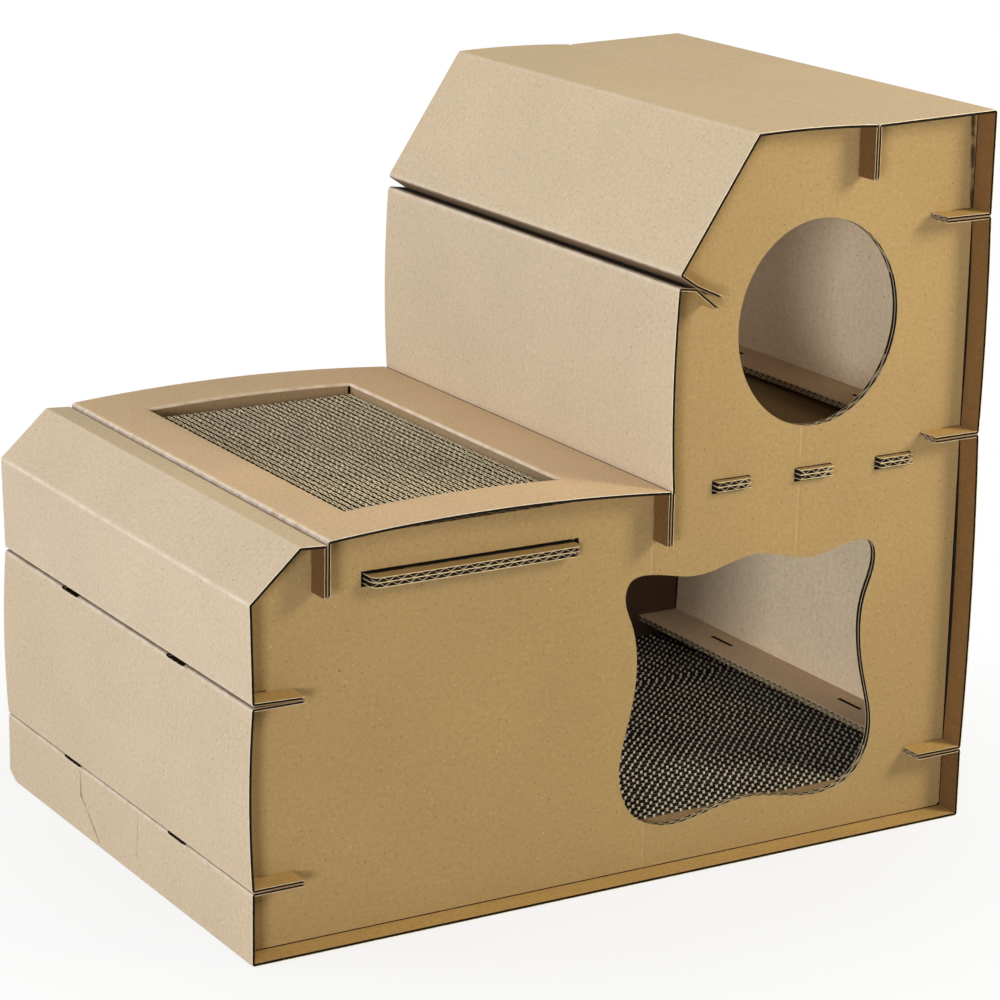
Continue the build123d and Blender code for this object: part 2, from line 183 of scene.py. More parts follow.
class Edge:
    """Profile of a cut edge: rings of (depth into the board, distance back), materials and flute layers."""

    def __init__(self, rings, mats, layers=(), flute=FLUTE, half=FLUTE_HALF):
        self.rings, self.mats, self.layers, self.flute, self.half = rings, mats, layers, flute, half


def single_edge():
    """Single wall: two liners with one layer of flutes between them."""
    low = BOARD - BACK_RIM
    rings = [(RIM, 0), (RIM, RECESS), (low, RECESS), (low, 0)]
    middle, swing = (RIM + low) / 2, (low - RIM) / 2 - FLUTE_HALF
    return Edge(rings, [EDGE, PAINTED_SHADE, PAINTED_SHADE, PAINTED_SHADE, EDGE], [(middle, swing)])


def twin_edge(thickness):
    """Double wall: three liners with two layers of flutes between them."""
    low = thickness - RIM
    a, b = thickness / 2 - MIDDLE_RIM / 2, thickness / 2 + MIDDLE_RIM / 2
    rings = [(RIM, 0), (RIM, RECESS), (a, RECESS), (a, MIDDLE_RECESS),
             (b, MIDDLE_RECESS), (b, RECESS), (low, RECESS), (low, 0)]
    mats = [EDGE, PAINTED_SHADE, PAINTED_SHADE, PAINTED_SHADE, EDGE, PAINTED_SHADE, PAINTED_SHADE, PAINTED_SHADE, EDGE]
    layers = [((RIM + a) / 2, (a - RIM) / 2 - TWIN_HALF), ((low + b) / 2, (low - b) / 2 - TWIN_HALF)]
    return Edge(rings, mats, layers, TWIN_FLUTE, TWIN_HALF)


def slot_edge(thickness):
    """Narrow slot, where the flutes don't show; its core is painted black as shade."""
    return Edge([(RIM, 0), (thickness - RIM, 0)], [EDGE, PAINTED_SHADE, EDGE])


# At a cut edge the recessed core is painted black as the shade in the flutes' hollows, and so are a slit's
# walls
SINGLE = single_edge()
SLIT = Edge([(0.4, 0), (BOARD - 0.3, 0)], [EDGE, PAINTED_SHADE, PAINTED_SHADE])
ROLLED = Edge([(0.3, -0.9), (0.9, -1.5), (ROLL, -ROLL), (BOARD, -ROLL)], [OUTER, OUTER, OUTER, OUTER, INNER])


def flute_runs(loop, inward, axis, flute):
    """Stretches of a loop that cross the flutes, in fine steps: places and inward ways."""
    p = np.asarray(loop, float)
    n = len(p)
    step = np.roll(p, -1, 0) - p
    crossing = abs(step[:, axis]) > 0.35 * np.linalg.norm(step, axis=1)
    start = 0 if crossing.all() else (int(np.argmin(crossing)) + 1) % n
    run = []
    for k in range(n):
        i = (start + k) % n
        j = (i + 1) % n
        if crossing[i]:
            parts = max(1, int(math.ceil(abs(step[i, axis]) / (flute / 6))))
            for u in np.arange(parts) / parts:
                run.append((p[i] + step[i] * u, inward[i] + (inward[j] - inward[i]) * u))
            last = (p[j], inward[j])
        if run and (not crossing[i] or k == n - 1):
            run.append(last)
            yield np.array([r[0] for r in run]), np.array([r[1] for r in run])
            run = []


def add_flutes(b, place, loop, inward, edge, axis, phase, flip):
    """Waved sheets between the liners of a cut edge."""
    half = edge.half
    corners = ((-half, FLUTE_RECESS), (half, FLUTE_RECESS), (half, RECESS), (-half, RECESS))
    for centre, swing in edge.layers:
        for line, way in flute_runs(loop, inward, axis, edge.flute):
            t = centre + swing * np.sin(2 * np.pi * line[:, axis] / edge.flute + phase)
            ring = [b.row(place, line + way * d, t + dt) for dt, d in corners]
            for a, c in zip(ring, ring[1:] + ring[:1]):
                b.strip(a, c, MEDIUM, closed=False, flip=flip)
        phase += LAYER_PHASE


def cut_edge(b, place, loop, outer, inner, edge, axis, phase=0.0, flip=False, worn=0.0, body=None):
    """Edge of a board along a loop: liners stand at the cut, the core lies back, and its flutes show.

    Where body is given, it says which vertices are on the sheet's body and which on a flange.
    """
    p = np.asarray(loop, float)
    inward = loop_inward(p)
    rows = [outer, *(b.row(place, p + inward * back, t, worn) for t, back in edge.rings), inner]
    for a, c, mat in zip(rows, rows[1:], edge.mats):
        b.strip(a, c, mat, flip=flip)
    if body is not None:
        first, last = len(b.mats) - len(p) * len(edge.mats), len(b.mats) - len(p)
        # On the body the inner rim is painted black as shade, and on a flange the outer rim takes the
        # flanges' painted shade
        for k, on_body in enumerate(body):
            b.mats[first + k] = BRIGHT if on_body else GROOVE_SHADE
            b.mats[last + k] = PAINTED_SHADE if on_body else EDGE
    add_flutes(b, place, p, inward, edge, axis, phase, flip)


# Folded skins

def fold_arc(start, spot, normal, turn, radius, crowns, wear_and_highlight):
    """Rows of a rounded fold, from the place where it starts."""
    reach = radius * np.sign(turn)
    centre = spot + normal * reach
    for w in np.arange(1, ARC_STEPS) / ARC_STEPS:
        co, si = math.cos(turn * w), math.sin(turn * w)
        n = np.array([normal[0] * co - normal[1] * si, normal[0] * si + normal[1] * co])
        crown = crowns[0] * (1 - w) + crowns[1] * w
        worn = wear_and_highlight * (1 - abs(2 * w - 1) * 0.4)
        yield (start + abs(turn) * radius * w, *(centre - n * reach), *n, crown, worn)


def fold_path(corners, crowns, wear_and_highlight):
    """Table along a sheet's outer line, with rounded folds: length, place, inward normal, crown, and wear
    with a painted highlight.
    """
    pts = [np.array(c, float) for c in corners]
    dirs = [(b - a) / np.linalg.norm(b - a) for a, b in zip(pts, pts[1:])]
    normals = [np.array([-d[1], d[0]]) for d in dirs]
    turns = [math.atan2(a[0] * b[1] - a[1] * b[0], a @ b) for a, b in zip(dirs, dirs[1:])]
    radii = [FOLD_RADIUS if turn > 0 else VALLEY_RADIUS for turn in turns]
    cut = [0.0] + [r * abs(math.tan(turn / 2)) for r, turn in zip(radii, turns)] + [0.0]
    rows, folds, s = [], [], 0.0
    for i, d in enumerate(dirs):
        a, c = pts[i] + d * cut[i], pts[i + 1] - d * cut[i + 1]
        whole, run = np.linalg.norm(pts[i + 1] - pts[i]), np.linalg.norm(c - a)
        rubbed_and_lit = {0: 0.5 * wear_and_highlight[i - 1] if i else 0.0, 1: 0.5 * wear_and_highlight[i] if i < len(wear_and_highlight) else 0.0}
        near = min(RUB_LIT / run, RUB_LIT_SHARE)
        for u in sorted({*np.linspace(0, 1, max(2, int(round(run / ROW_STEP)) + 1)), near, 1 - near}):
            crown = crowns[i] * bow((cut[i] + u * run) / whole)
            rows.append((s + u * run, *(a + (c - a) * u), *normals[i], crown, rubbed_and_lit.get(u, 0.0)))
        s += run
        if i + 1 < len(dirs):
            next_crown = crowns[i + 1] * bow(cut[i + 1] / np.linalg.norm(pts[i + 2] - pts[i + 1]))
            rows.extend(fold_arc(s, c, normals[i], turns[i], radii[i], (rows[-1][5], next_crown), wear_and_highlight[i]))
            arc = abs(turns[i]) * radii[i]
            folds.append(s + arc / 2)
            s += arc
    return np.array(rows), folds


def corner_numbers(keep):
    """Which corners of a grid the kept cells use, and their numbers."""
    high, wide = keep.shape
    used = np.zeros((high + 1, wide + 1), bool)
    for di, dj in ((0, 0), (0, 1), (1, 0), (1, 1)):
        used[di:di + high, dj:dj + wide] |= keep
    index = -np.ones(used.shape, int)
    index[used] = np.arange(used.sum())
    return used, index


class Skin:
    """A folded sheet over the width of the house, on a grid of its flat coordinates."""

    def __init__(self, corners, crowns, wear_and_highlight, flanges=(0, -1)):
        self.table, self.folds = fold_path(corners, crowns, wear_and_highlight)
        self.end = self.table[-1, 0]
        self.first_fold, self.last_fold = self.folds[flanges[0]], self.folds[flanges[1]]
        self.cuts, self.notches, self.rolled, self.rows, self.cols = [], [], [], [], []
        self.bend = lambda points: points
        self.shade_end = -1.0

    def place(self, q, t):
        """Places in the house of flat places at a depth into the board."""
        q = np.asarray(q, float)
        columns = (np.interp(q[:, 0], self.table[:, 0], self.table[:, k]) for k in range(1, 6))
        x, z, nx, nz, crown = columns
        depth = np.asarray(t, float) - crown
        return self.bend(np.column_stack([x + nx * depth, q[:, 1], z + nz * depth]))

    def at(self, x, z):
        """Length along the sheet at a place on its outer line."""
        s = np.arange(0, self.end, 0.1)
        spots = self.place(np.column_stack([s, 0 * s]), 0 * s)
        return float(s[np.argmin(np.hypot(spots[:, 0] - x, spots[:, 2] - z))])

    def flange(self, s):
        return (s < self.first_fold) | (s > self.last_fold)

    def grid_lines(self):
        """Rows and columns of the grid: even steps, and the lines of all folds, cuts and panels."""
        rows = set(np.round(self.table[:, 0], 3)) | {v for c in self.cuts for v in c[:2]} | set(self.rows)
        rows = np.array(sorted(v for v in rows if 0 <= v <= self.end + 0.01))
        cols = set(np.round(np.linspace(-HALF_WIDTH, HALF_WIDTH, COLUMNS), 3))
        cols |= {v for c in self.cuts for v in c[2:4]} | set(self.cols)
        cols |= {PANEL_OUT, -PANEL_OUT, PANEL_IN, -PANEL_IN}
        for _, y, half, _ in self.notches:
            cols |= {y + half * u for u in NOTCH_STEPS}
        cols = np.array(sorted(v for v in cols if abs(v) <= HALF_WIDTH))
        return [v[np.concatenate([[True], np.diff(v) > 0.05])] for v in (rows, cols)]

    def kept_cells(self, mid_s, mid_y):
        """Cells of the grid that no cut takes away."""
        keep = np.ones((len(mid_s), len(mid_y)), bool)
        for s0, s1, y0, y1 in self.cuts:
            keep &= ~(((mid_s > s0) & (mid_s < s1))[:, None] & ((mid_y > y0) & (mid_y < y1))[None, :])
        return keep

    def round_notches(self, s, rows, cols):
        """Rounds the corners of the thumb notches in a grid of lengths."""
        for fold, y, half, depth in self.notches:
            i = int(np.argmin(abs(rows - (fold + depth))))
            near = abs(cols - y) <= half + 0.01
            s[i, near] -= THUMB_ROUND * (abs(cols[near] - y) / half) ** 12

    def outer_numbers(self, mid_s):
        """Material numbers of the outer face: painted shade in the pinched joint, and a darker copy of the
        liner as painted shade on the flanges.
        """
        return np.where(mid_s < self.shade_end, PAINTED_SHADE, np.where(self.flange(mid_s), GROOVE_SHADE, OUTER))

    def inner_numbers(self, mid_s, mid_y):
        """Material numbers of the inner face: pale in the rooms, with a darker copy on the flanges there as
        painted shade; golden on the overhangs, with a darker copy on upright faces as painted shade; black
        painted shade at a panel's edge, golden on the flanges there.
        """
        nz = abs(np.interp(mid_s, self.table[:, 0], self.table[:, 4]))
        golden = np.where(nz > 0.6, LEVEL, UPRIGHT_SHADE)[:, None]
        away = abs(mid_y)[None, :]
        on_flange = self.flange(mid_s)[:, None]
        gap_shade, room = np.where(on_flange, LEVEL, PAINTED_SHADE), np.where(on_flange, LEDGE_SHADE, INNER)
        return np.where(away > PANEL_OUT, golden, np.where(away > PANEL_IN, gap_shade, room))

    def faces(self, b, keep, index, outer, inner, mid_s, mid_y):
        """Adds both faces of the sheet and returns the table of next vertices along its borders."""
        outer_mat, inner_mat = self.outer_numbers(mid_s), self.inner_numbers(mid_s, mid_y)
        nxt = {}
        for i, j in zip(*np.nonzero(keep)):
            ring = (index[i, j], index[i + 1, j], index[i + 1, j + 1], index[i, j + 1])
            b.face([outer[k] for k in ring[::-1]], outer_mat[i])
            b.face([inner[k] for k in ring], inner_mat[i, j])
            for k, (a, c) in enumerate(((i, j - 1), (i + 1, j), (i, j + 1), (i - 1, j))):
                if not (0 <= a < keep.shape[0] and 0 <= c < keep.shape[1] and keep[a, c]):
                    nxt[ring[k]] = ring[(k + 1) % 4]
        return nxt

    def border(self, b, pts, outer, inner):
        """Cut edge along one border: rolled round the deck's window, plain in a slit, or with flutes."""
        size = np.ptp(pts, axis=0)
        within = abs(pts[:, 1]).max() < HALF_WIDTH - 1
        rolled = within and any(np.hypot(*(pts.mean(0) - middle)) < 20 for middle in self.rolled)
        narrow = size.max() < 2.5 * SLIT_HALF and size.min() < 5
        edge = ROLLED if rolled else SLIT if narrow else SINGLE
        body = None if rolled or narrow else ~self.flange(pts[:, 0])
        # The rolled rim round the deck's window is made pale: rubbed paper and a painted highlight
        worn = 0.8 if rolled else 0.0
        cut_edge(b, self.place, pts, outer, inner, edge, 1, phase=len(pts), worn=worn, body=body)

    def build(self, name, node_name, materials, extra=None):
        """Makes the piece; extra adds what is not on the sheet's grid."""
        rows, cols = self.grid_lines()
        mid_s, mid_y = (rows[:-1] + rows[1:]) / 2, (cols[:-1] + cols[1:]) / 2
        keep = self.kept_cells(mid_s, mid_y)
        s, y = (grid.copy() for grid in np.meshgrid(rows, cols, indexing="ij"))
        self.round_notches(s, rows, cols)
        used, index = corner_numbers(keep)
        flat = np.column_stack([s[used], y[used]])
        b = Build()
        outer = b.row(self.place, flat, 0.0, np.interp(flat[:, 0], self.table[:, 0], self.table[:, 6]))
        inner = b.row(self.place, flat, BOARD)
        for loop in chains(self.faces(b, keep, index, outer, inner, mid_s, mid_y)):
            self.border(b, flat[loop], outer[loop], inner[loop])
        if extra:
            extra(b)
        return b.piece(name, node_name, materials, "skin_board")


def lap(skin, first=NOTCH_DEPTH, last=NOTCH_DEPTH):
    """Notches from the free edges at both side panels."""
    for side in (-1, 1):
        y0, y1 = side * PANEL_MIDDLE - NOTCH_HALF, side * PANEL_MIDDLE + NOTCH_HALF
        skin.cuts.append((-1.0, first, y0, y1))
        skin.cuts.append((skin.end - last, skin.end + 1.0, y0, y1))
    return skin


# Materials

def material(name):
    m = bpy.data.materials.new(name)
    m.use_nodes = True
    return m, m.node_tree, m.node_tree.nodes["Principled BSDF"]


def node(tree, kind, links=(), **values):
    """A shader node; values named i_ set its inputs by name or number, and the others its settings."""
    n = tree.nodes.new(kind)
    for k, v in values.items():
        if k.startswith("i_"):
            n.inputs[int(k[2:]) if k[2:].isdigit() else k[2:].replace("_", " ")].default_value = v
        else:
            setattr(n, k, v)
    for target, source in links:
        tree.links.new(source, n.inputs[target])
    return n


def feed(tree, n, sockets):
    """Sets or links numbered inputs of a node."""
    for socket, v in sockets:
        if isinstance(v, (int, float, tuple)):
            n.inputs[socket].default_value = v
        else:
            tree.links.new(v, n.inputs[socket])


def math_node(tree, operation, *operands, clamp=False):
    n = node(tree, "ShaderNodeMath", operation=operation, use_clamp=clamp)
    feed(tree, n, enumerate(operands))
    return n.outputs[0]


def vector_node(tree, operation, links, output=0, **values):
    return node(tree, "ShaderNodeVectorMath", links, operation=operation, **values).outputs[output]


def map_range(tree, value, start, end, low, high):
    n = node(tree, "ShaderNodeMapRange", [("Value", value)], i_1=start, i_2=end, i_3=low, i_4=high)
    return n.outputs[0]


def noise(tree, vec, scale, detail=2.0, rough=0.5):
    links = [("Vector", vec)]
    n = node(tree, "ShaderNodeTexNoise", links, i_Scale=scale, i_Detail=detail, i_Roughness=rough)
    return n.outputs["Fac"]


def ramp(tree, fac, *stops):
    r = node(tree, "ShaderNodeValToRGB", [("Fac", fac)])
    els = r.color_ramp.elements
    while len(els) < len(stops):
        els.new(0.5)
    for e, (pos, v) in zip(els, stops):
        e.position = pos
        e.color = v if isinstance(v, tuple) else (v, v, v, 1)
    return r.outputs["Color"]


def mix(tree, kind, fac, a, b):
    m = node(tree, "ShaderNodeMix", data_type="RGBA", blend_type=kind)
    feed(tree, m, ((0, fac), (6, a), (7, b)))
    return m.outputs[2]


def attribute(tree, name, output):
    return node(tree, "ShaderNodeAttribute", attribute_name=name).outputs[output]


def shade(colour, factor, lift=0.0):
    return tuple(min(1.0, factor * c + lift) for c in colour[:3]) + (1,)


def finish(tree, bsdf, colour, roughness, specular):
    """Colour and gloss of a paper."""
    tree.links.new(colour, bsdf.inputs["Base Color"])
    bsdf.inputs["Roughness"].default_value = roughness
    bsdf.inputs["Specular IOR Level"].default_value = specular


def mark(tree, flat, start, end, width):
    """Strength of a thin line between two flat places, in millimetres."""
    a, way = Vector((*start, 0)) * 0.001, Vector((end[0] - start[0], end[1] - start[1], 0)) * 0.001
    rel = vector_node(tree, "SUBTRACT", [(0, flat)], i_1=a)
    dot = vector_node(tree, "DOT_PRODUCT", [(0, rel)], "Value", i_1=way)
    along = math_node(tree, "DIVIDE", dot, way.length_squared, clamp=True)
    foot = vector_node(tree, "SCALE", [("Scale", along)], i_0=way)
    off = vector_node(tree, "SUBTRACT", [(0, rel), (1, foot)])
    far = vector_node(tree, "LENGTH", [(0, off)], "Value")
    return map_range(tree, far, 0.0, width * 0.001, 1.0, 0.0)


def flecks(tree, col, vec, scale, full, strength, tint):
    """Sparse fine flecks of a tint over a colour."""
    spots = ramp(tree, noise(tree, vec, scale, 1, 0.4), (0.69, 0.0), (full, strength))
    return mix(tree, "MIX", spots, col, tint)


def flute_wave(tree, flat, across):
    """Wave over the board's flutes, faded out in patches."""
    spot = node(tree, "ShaderNodeSeparateXYZ", [(0, flat)]).outputs[across]
    wave = math_node(tree, "SINE", math_node(tree, "MULTIPLY", spot, 2 * math.pi / (FLUTE * 0.001)))
    return math_node(tree, "MULTIPLY", wave, ramp(tree, noise(tree, flat, 14, 2), (0.4, 0.0), (0.75, 1.0)))


def kraft(name, colour, across=1, stripes=1.0, fold_light=0.9, marks=()):
    """Kraft liner: faintly clouded, with fine flecks, flute lines, folds made pale by rubbing and a painted
    highlight, and thin marks, some of which are painted light and shade.
    """
    m, t, bsdf = material(name)
    flat = attribute(t, "flat", "Vector")
    cloud = ramp(t, noise(t, flat, 11, 3), (0.3, 0.965), (0.7, 1.03))
    grain = ramp(t, noise(t, flat, 300, 4, 0.65), (0.25, 0.87), (0.75, 1.10))
    col = mix(t, "MULTIPLY", 1.0, mix(t, "MULTIPLY", 1.0, colour, cloud), grain)
    dark = (0.40 * colour[0], 0.33 * colour[1], 0.33 * colour[2], 1)
    col = flecks(t, col, flat, 520, 0.74, 0.7, dark)
    shifted = node(t, "ShaderNodeMapping", [("Vector", flat)], i_Location=(0.31, 0.17, 0.05)).outputs[0]
    col = flecks(t, col, shifted, 480, 0.75, 0.6, shade(colour, 1.25, 0.08))
    wave = flute_wave(t, flat, across)
    level = math_node(t, "MULTIPLY_ADD", wave, 0.5, 0.5)
    col = mix(t, "MULTIPLY", 1.0, col, ramp(t, level, (0.0, 1 - 0.02 * stripes), (1.0, 1.0)))
    broken = ramp(t, noise(t, flat, 90, 3), (0.32, 0.25), (0.62, 1.0))
    # Folds and rolled rims turn pale: rubbed paper and a painted highlight
    rubbed_and_lit = math_node(t, "MULTIPLY", attribute(t, "worn", "Fac"), broken)
    rubbed_and_lit = math_node(t, "MULTIPLY", rubbed_and_lit, fold_light, clamp=True)
    col = mix(t, "MIX", rubbed_and_lit, col, shade(colour, 0.7, 0.4))
    for start, end, width, strength, tint in marks:
        line = math_node(t, "MULTIPLY", mark(t, flat, start, end, width), strength)
        col = mix(t, "MIX", math_node(t, "MULTIPLY", line, broken, clamp=True), col, tint)
    finish(t, bsdf, col, 0.8, 0.25)
    height = math_node(t, "MULTIPLY_ADD", wave, 0.35 * stripes, noise(t, flat, 900, 3, 0.6))
    bump = node(t, "ShaderNodeBump", [("Height", height)], i_Strength=0.15, i_Distance=0.0002)
    t.links.new(bump.outputs[0], bsdf.inputs["Normal"])
    return m


def raw_paper(name, low, high, scale=500, depth_shade=None, reach=0.5):
    """Cut paper: pale torn fibres; where a shade colour is given, painted shade darkens it with depth as its
    attribute value rises.
    """
    m, t, bsdf = material(name)
    flat = attribute(t, "flat", "Vector")
    fibres = ramp(t, noise(t, flat, scale, 3, 0.6), (0.3, low), (0.7, high))
    col = mix(t, "MULTIPLY", 1.0, fibres, ramp(t, noise(t, flat, 45, 2), (0.3, 0.86), (0.7, 1.08)))
    if depth_shade:
        depth = ramp(t, attribute(t, "worn", "Fac"), (0.0, 0.0), (reach, 1.0))
        col = mix(t, "MIX", depth, col, depth_shade)
    finish(t, bsdf, col, 0.9, 0.15)
    return m


PALE = (0.64, 0.515, 0.365, 1)
SKIN_MATS = [
    kraft("skin_outer_liner", PALE),
    # Paler than the outer liner: partly the paper, partly painted light on the walls seen through the door
    # and window
    kraft("skin_inner_liner", (0.84, 0.685, 0.50, 1), stripes=2.0),
    raw_paper("skin_cut_liner", (0.55, 0.44, 0.28, 1), (0.80, 0.67, 0.48, 1)),
    # Near-black painted shade for hollows, gaps and slots
    raw_paper("flute_cavity_shade", (0.012, 0.009, 0.006, 1), (0.03, 0.021, 0.014, 1), 200),
    raw_paper("fluted_sheet", (0.50, 0.40, 0.26, 1), (0.72, 0.60, 0.43, 1)),
    # Darker copy of the outer liner for the flanges' outer faces: painted shade in the grooves
    kraft("flange_outer_shaded_liner", (0.30, 0.20, 0.115, 1)),
    kraft("flange_inner_liner", (0.55, 0.37, 0.15, 1)),
    # Darker copy of the golden liner for upright overhang faces: painted shade
    kraft("overhang_shaded_liner", (0.165, 0.085, 0.031, 1)),
    raw_paper("skin_bright_liner", (0.78, 0.68, 0.52, 1), (0.97, 0.90, 0.76, 1)),
    # Darker copy of the deck's liner for the flaps' outer faces: painted shade
    kraft("flap_shaded_liner", (0.36, 0.25, 0.14, 1)),
    # Darker copy of the inner liner for the flanges inside the rooms: painted shade
    kraft("ledge_shaded_liner", (0.66, 0.49, 0.33, 1)),
]
# The back skins' own darker copy of the golden liner for their upright overhang: painted shade
back_overhang = kraft("back_overhang_shaded_liner", (0.228, 0.122, 0.043, 1))
BACK_MATS = SKIN_MATS[:UPRIGHT_SHADE] + [back_overhang] + SKIN_MATS[UPRIGHT_SHADE + 1:]


# The nine skins

def flange(joint, way):
    return (joint[0] + way[0] * FLANGE, joint[1] + way[1] * FLANGE)


# Places where the skins meet, numbered from the front, and the ways of their flanges
IN, OUT, DOWN = (1, 0), (-1, 0), (0, -1)
J1, J2, J2_UPPER = (0, BASE_FRONT), (0, FRONT_JOINT), (0, FRONT_JOINT + FRONT_GAP)
J6, JR, J10 = (DECK_START, DECK + DECK_RISE), (RISER, DECK), (ROOF_JOINT, TOWER - ROOF_JOINT_DIP)
J12, J13, J14 = (LENGTH, BACK_TOP), (LENGTH, BACK_JOINT), (LENGTH, BASE_BACK)
PINCH = (RISER + 15, RISER_TOP - 2)
RISER_TAIL, ROOF_TAIL = (RISER + 34, RISER_TOP - 17.5), (RISER + 36, RISER_TOP - 11.5)


def thumb_notches(skin, fold):
    """Two thumb notches in the fold of a front joint."""
    for y in (-SLIT_OFFSET, SLIT_OFFSET):
        skin.cuts.append((fold - THUMB_REACH, fold + THUMB_DEPTH, y - SLIT_HALF, y + SLIT_HALF))
        skin.notches.append((fold, y, SLIT_HALF, THUMB_DEPTH))


def slits(skin, middle):
    """Two slits along a back ledge."""
    for y in (-SLIT_OFFSET, SLIT_OFFSET):
        skin.cuts.append((middle - SLIT_THIN, middle + SLIT_THIN, y - SLIT_HALF, y + SLIT_HALF))


base_corners = [flange(J1, IN), J1, (0, 0), (LENGTH, 0), J14, flange(J14, OUT)]
base = lap(Skin(base_corners, [0] * 5, [0.6, 0.2, 0.2, 0.3]))
thumb_notches(base, base.folds[0])
slits(base, base.end - SLIT_PLACE)
CRUSH_X, CRUSH_Y, CRUSH_Z = 18.0, 13.0, 8.0


def crushed_corner(points):
    """The far front corner of the base, knocked in."""
    x, y, z = points.T
    over = (y - HALF_WIDTH) / CRUSH_Y + 1 - z / CRUSH_Z
    push = np.clip(over, 0, None) / 2 * np.clip(1 - x / CRUSH_X, 0, 1) * (z < CRUSH_Z)
    return np.column_stack([x, y - push * CRUSH_Y, z + push * CRUSH_Z])


base.bend = crushed_corner
base.cols += [HALF_WIDTH - v for v in (2.5, 5, 7.5, 10, CRUSH_Y)]
base.rows += [base.at(0, v) for v in (3.2, 4.8, 6.4, CRUSH_Z)]
base.rows += [base.at(v, 0) for v in (4.0, 7.0, 10.0, 14.0, CRUSH_X)]

# Creases of the base's front, painted as dark lines for crushed paper and the shade in each crease: height
# and distance from the near edge at both ends, width and strength
CREASE_SHADE_TINT = (0.20, 0.105, 0.065, 1)
BASE_CREASES = [
    ((49, 278), (31, 277), 1.9, 1.2),
    ((31, 277), (5, 246), 1.6, 1.0),
    ((49, 179), (16, 181), 1.3, 0.5),
]
base_marks = [((base.at(0, z0), y0 - HALF_WIDTH), (base.at(0, z1), y1 - HALF_WIDTH), width, strength, CREASE_SHADE_TINT)
              for (z0, y0), (z1, y1), width, strength in BASE_CREASES]
base_out = kraft("base_outer_liner", PALE, marks=base_marks)
base.build("base_sheet", "base_tray", [base_out] + SKIN_MATS[1:])

front = lap(Skin([flange(J2, IN), J2, J1, flange(J1, IN)], [0, WALL_CROWN, 0], [0.6, 0.35]))
thumb_notches(front, front.folds[0])
front.build("front_sheet", "front_panel", SKIN_MATS)

slope_corners = [flange(J6, DOWN), (DECK_START, DECK - LEDGE_FALL), (LEDGE_START, DECK),
                 (-FRONT_LEAN, FRONT_FOLD), J2_UPPER, flange(J2, IN)]
slope = lap(Skin(slope_corners, [0] * 5, [0, 0.25, 0.8, 0.5]))
scratch_top, scratch_foot = (slope.at(22, 277), 88 - HALF_WIDTH), (slope.at(10, 267), 70 - HALF_WIDTH)
scratch = (scratch_top, scratch_foot, 0.7, 0.35, (0.45, 0.33, 0.22, 1))
slope_out = kraft("slope_outer_liner", (0.665, 0.54, 0.395, 1), marks=[scratch])
slope.build("front_slope_sheet", "front_slope", [slope_out] + SKIN_MATS[1:])


def deck_top(x):
    """Height of the crowned deck at a place along x."""
    u = (np.asarray(x) - DECK_START) / (RISER - DECK_START)
    return DECK + DECK_RISE * (1 - u) + DECK_CROWN * bow(u)


deck = lap(Skin([flange(JR, DOWN), JR, J6, flange(J6, DOWN)], [0, DECK_CROWN, 0], [0.1, 1.3]))
window_s = [deck.at(x, float(deck_top(x))) for x in (WINDOW_BACK, WINDOW_FRONT)]
deck.cuts.append((window_s[0] - ROLL, window_s[1] + ROLL, -WINDOW_SIDE - ROLL, WINDOW_SIDE + ROLL))
deck.rolled.append(np.array([sum(window_s) / 2, 0.0]))


def flap_lines():
    """Line of each flap along the deck's window, with the way out of the window."""
    ys = np.linspace(-WINDOW_SIDE + FLAP_RELIEF, WINDOW_SIDE - FLAP_RELIEF, 24)
    xs = np.linspace(WINDOW_FRONT + FLAP_RELIEF, WINDOW_BACK - FLAP_RELIEF, 16)
    for x, out in ((WINDOW_FRONT, -1), (WINDOW_BACK, 1)):
        yield np.column_stack([0 * ys + x, ys]), np.array([out, 0.0])
    for y, out in ((-WINDOW_SIDE, -1), (WINDOW_SIDE, 1)):
        yield np.column_stack([xs, 0 * xs + y]), np.array([0.0, out])


def deck_flaps(b):
    """Four flaps folded down round the deck's window."""
    for line, out in flap_lines():
        back = line + out * BOARD
        rows = []
        for pts, top in ((line, True), (line, False), (back, False), (back, True)):
            z = deck_top(pts[:, 0]) - BOARD + 0.1 if top else np.full(len(pts), DECK - FLAP_DEPTH)
            flat = np.column_stack([z, pts[:, 1] if out[0] else pts[:, 0], 0 * z])
            rows.append(b.add(np.column_stack([pts, z]), flat))
        turn = (out[0] < 0) or (out[1] > 0)
        # The flaps' outer faces take their darker copy of the liner: painted shade
        for k, mat in enumerate((FLAP_SHADE, EDGE, INNER, INNER)):
            b.strip(rows[k], rows[(k + 1) % 4], mat, closed=False, flip=turn)
        for end in (0, -1):
            ring = [r[end] for r in rows]
            b.face(ring if (end == 0) != turn else ring[::-1], EDGE)


deck_out = kraft("deck_outer_liner", (0.665, 0.495, 0.325, 1))
deck.build("deck_sheet", "deck_panel", [deck_out] + SKIN_MATS[1:], extra=deck_flaps)

riser_corners = [RISER_TAIL, PINCH, (RISER, RISER_TOP), JR, flange(JR, DOWN)]
riser = lap(Skin(riser_corners, [0, 0, WALL_CROWN, 0], [0, 0.6, 0.1], flanges=(1, -1)), first=RISER_NOTCH)
# The riser's outer face deep in the pinched joint is painted as shade
riser.shade_end = riser.folds[1] - 4.0
riser.rows.append(riser.shade_end)
riser.build("riser_sheet", "riser", SKIN_MATS)

roof_corners = [flange(J10, DOWN), J10, (ROOF_EDGE, TOWER - ROOF_EDGE_DIP), (RISER, ROOF_FOOT),
                PINCH, ROOF_TAIL]
roof = Skin(roof_corners, [0, ROOF_CROWN, 0, 0, 0], [0.3, 0.3, 0.5, 0], flanges=(0, -2))
lap(roof, last=ROOF_NOTCH).build("roof_sheet", "roof", SKIN_MATS)

